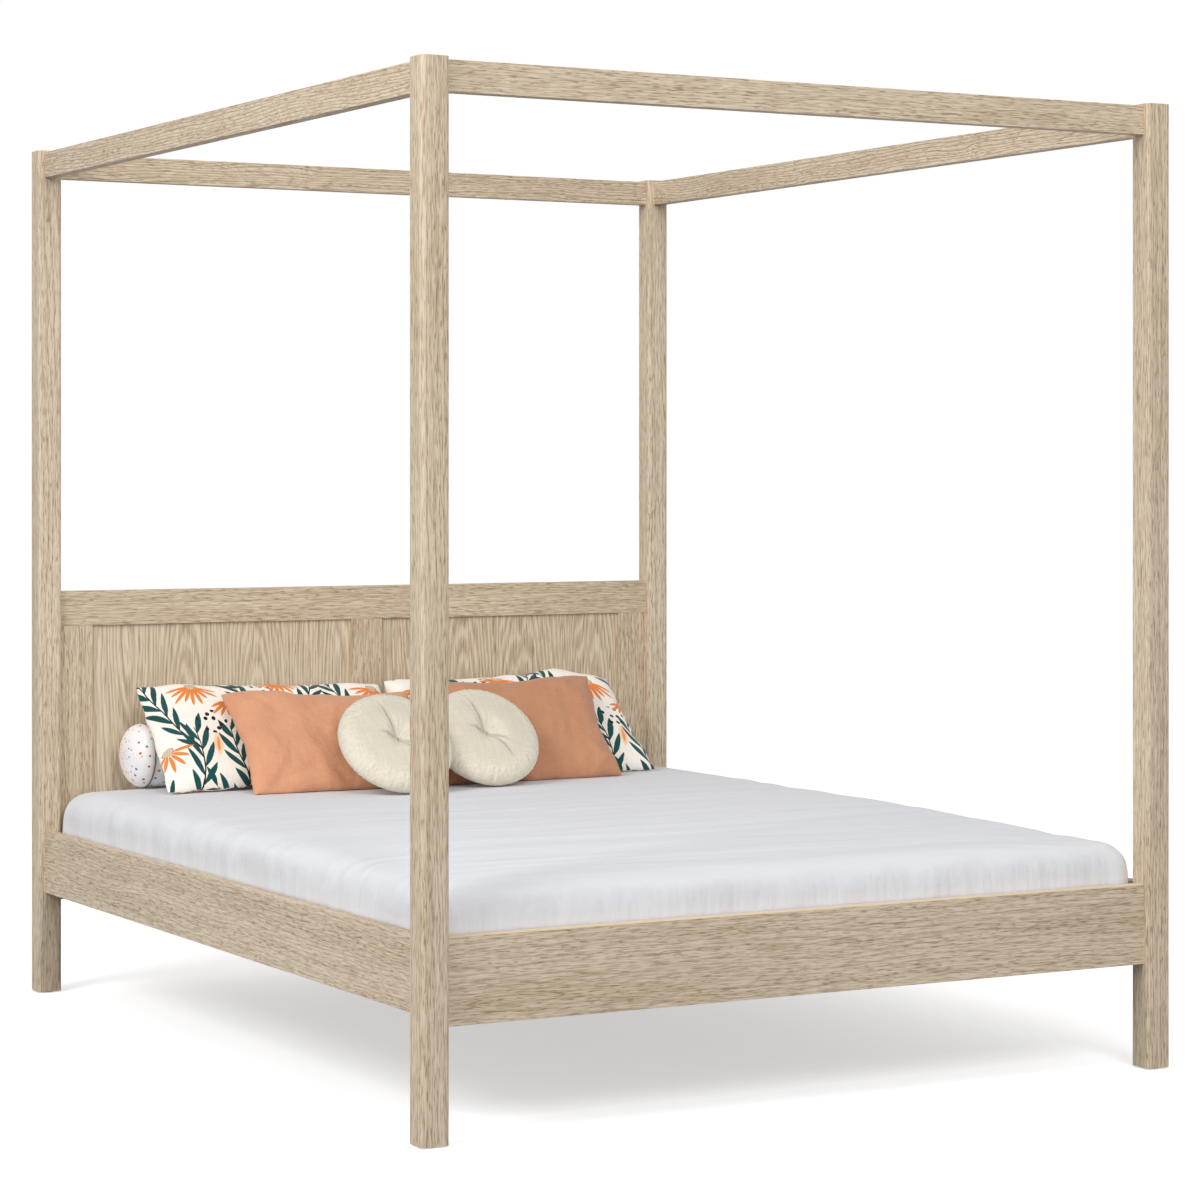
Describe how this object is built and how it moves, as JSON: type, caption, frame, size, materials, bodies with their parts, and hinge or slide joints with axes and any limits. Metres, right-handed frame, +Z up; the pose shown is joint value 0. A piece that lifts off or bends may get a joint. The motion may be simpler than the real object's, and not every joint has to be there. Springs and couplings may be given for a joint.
{
  "type": "four poster canopy bed",
  "caption": "Four poster canopy bed in light oak with a framed panel headboard, slatted base, mattress in a fitted sheet, a bolster and six cushions.",
  "frame": {"origin": "on the floor, at the centre of the rectangle round the four posts", "axes": "+X to the right seen from the foot, +Y from the foot to the head, +Z up"},
  "size_m": [1.724, 2.136, 2],
  "materials": {
    "oak": "satin",
    "birch_slats": "matte",
    "pine_ledge": "matte",
    "beech_dowels": "matte",
    "tape": "matte",
    "zinc_steel": "satin",
    "black_steel": "matte",
    "glide_plastic": "matte",
    "ticking": "matte",
    "white_sheet": "satin",
    "dotted_cotton": "matte",
    "brown_piping": "matte",
    "leaf_print": "matte",
    "terracotta_cotton": "matte",
    "cream_linen": "matte"
  },
  "bodies": {
    "bed_frame": {"beam_bracket_foot": "black_steel", "beam_bracket_head": "black_steel", "bracket_screws": "zinc_steel", "cam_bolts": "zinc_steel", "cam_locks": "zinc_steel", "canopy_rail_foot": "oak", "canopy_rail_head": "oak", "canopy_rail_left": "oak", "canopy_rail_right": "oak", "foot_rail": "oak", "half_moon_washers": "zinc_steel", "headboard_bottom_rail": "oak", "headboard_dowels": "beech_dowels", "headboard_panel_left": "oak", "headboard_panel_right": "oak", "headboard_stile_centre": "oak", "headboard_stile_left": "oak", "headboard_stile_right": "oak", "headboard_top_rail": "oak", "ledge_screws": "zinc_steel", "middle_beam": "black_steel", "post_foot_left": "oak", "post_foot_right": "oak", "post_glides": "glide_plastic", "post_head_left": "oak", "post_head_right": "oak", "rail_bolts": "zinc_steel", "rail_dowels": "beech_dowels", "rail_nuts": "zinc_steel", "side_rail_left": "oak", "side_rail_right": "oak", "slat_01": "birch_slats", "slat_02": "birch_slats", "slat_03": "birch_slats", "slat_04": "birch_slats", "slat_05": "birch_slats", "slat_06": "birch_slats", "slat_07": "birch_slats", "slat_08": "birch_slats", "slat_09": "birch_slats", "slat_10": "birch_slats", "slat_11": "birch_slats", "slat_12": "birch_slats", "slat_13": "birch_slats", "slat_14": "birch_slats", "slat_ledge_left": "pine_ledge", "slat_ledge_right": "pine_ledge", "slat_tape_left": "tape", "slat_tape_right": "tape"},
    "mattress": {"mattress": "ticking", "fitted_sheet": "white_sheet"},
    "bolster": {"bolster": "dotted_cotton", "bolster_piping": "brown_piping"},
    "printed_cushion_right": {"printed_cushion_right": "leaf_print"},
    "printed_cushion_left": {"printed_cushion_left": "leaf_print"},
    "plain_cushion_right": {"plain_cushion_right": "terracotta_cotton"},
    "plain_cushion_left": {"plain_cushion_left": "terracotta_cotton"},
    "round_cushion_right": {"round_cushion_right": "cream_linen"},
    "round_cushion_left": {"round_cushion_left": "cream_linen"}
  },
  "joints": [
    {"name": "mattress_lift", "type": "slide", "parent": "bed_frame", "child": "mattress", "axis": [0, 0, 1], "range_m": [0, 0.3]},
    {"name": "bolster_lift", "type": "slide", "parent": "mattress", "child": "bolster", "axis": [0, 0, 1], "range_m": [0, 0.2]},
    {"name": "printed_cushion_right_lift", "type": "slide", "parent": "bolster", "child": "printed_cushion_right", "axis": [0, 0, 1], "range_m": [0, 0.2]},
    {"name": "printed_cushion_left_lift", "type": "slide", "parent": "printed_cushion_right", "child": "printed_cushion_left", "axis": [0, 0, 1], "range_m": [0, 0.2]},
    {"name": "plain_cushion_right_lift", "type": "slide", "parent": "printed_cushion_left", "child": "plain_cushion_right", "axis": [0, 0, 1], "range_m": [0, 0.2]},
    {"name": "plain_cushion_left_lift", "type": "slide", "parent": "plain_cushion_right", "child": "plain_cushion_left", "axis": [0, 0, 1], "range_m": [0, 0.2]},
    {"name": "round_cushion_right_lift", "type": "slide", "parent": "plain_cushion_left", "child": "round_cushion_right", "axis": [0, 0, 1], "range_m": [0, 0.2]},
    {"name": "round_cushion_left_lift", "type": "slide", "parent": "round_cushion_right", "child": "round_cushion_left", "axis": [0, 0, 1], "range_m": [0, 0.2]}
  ]
}
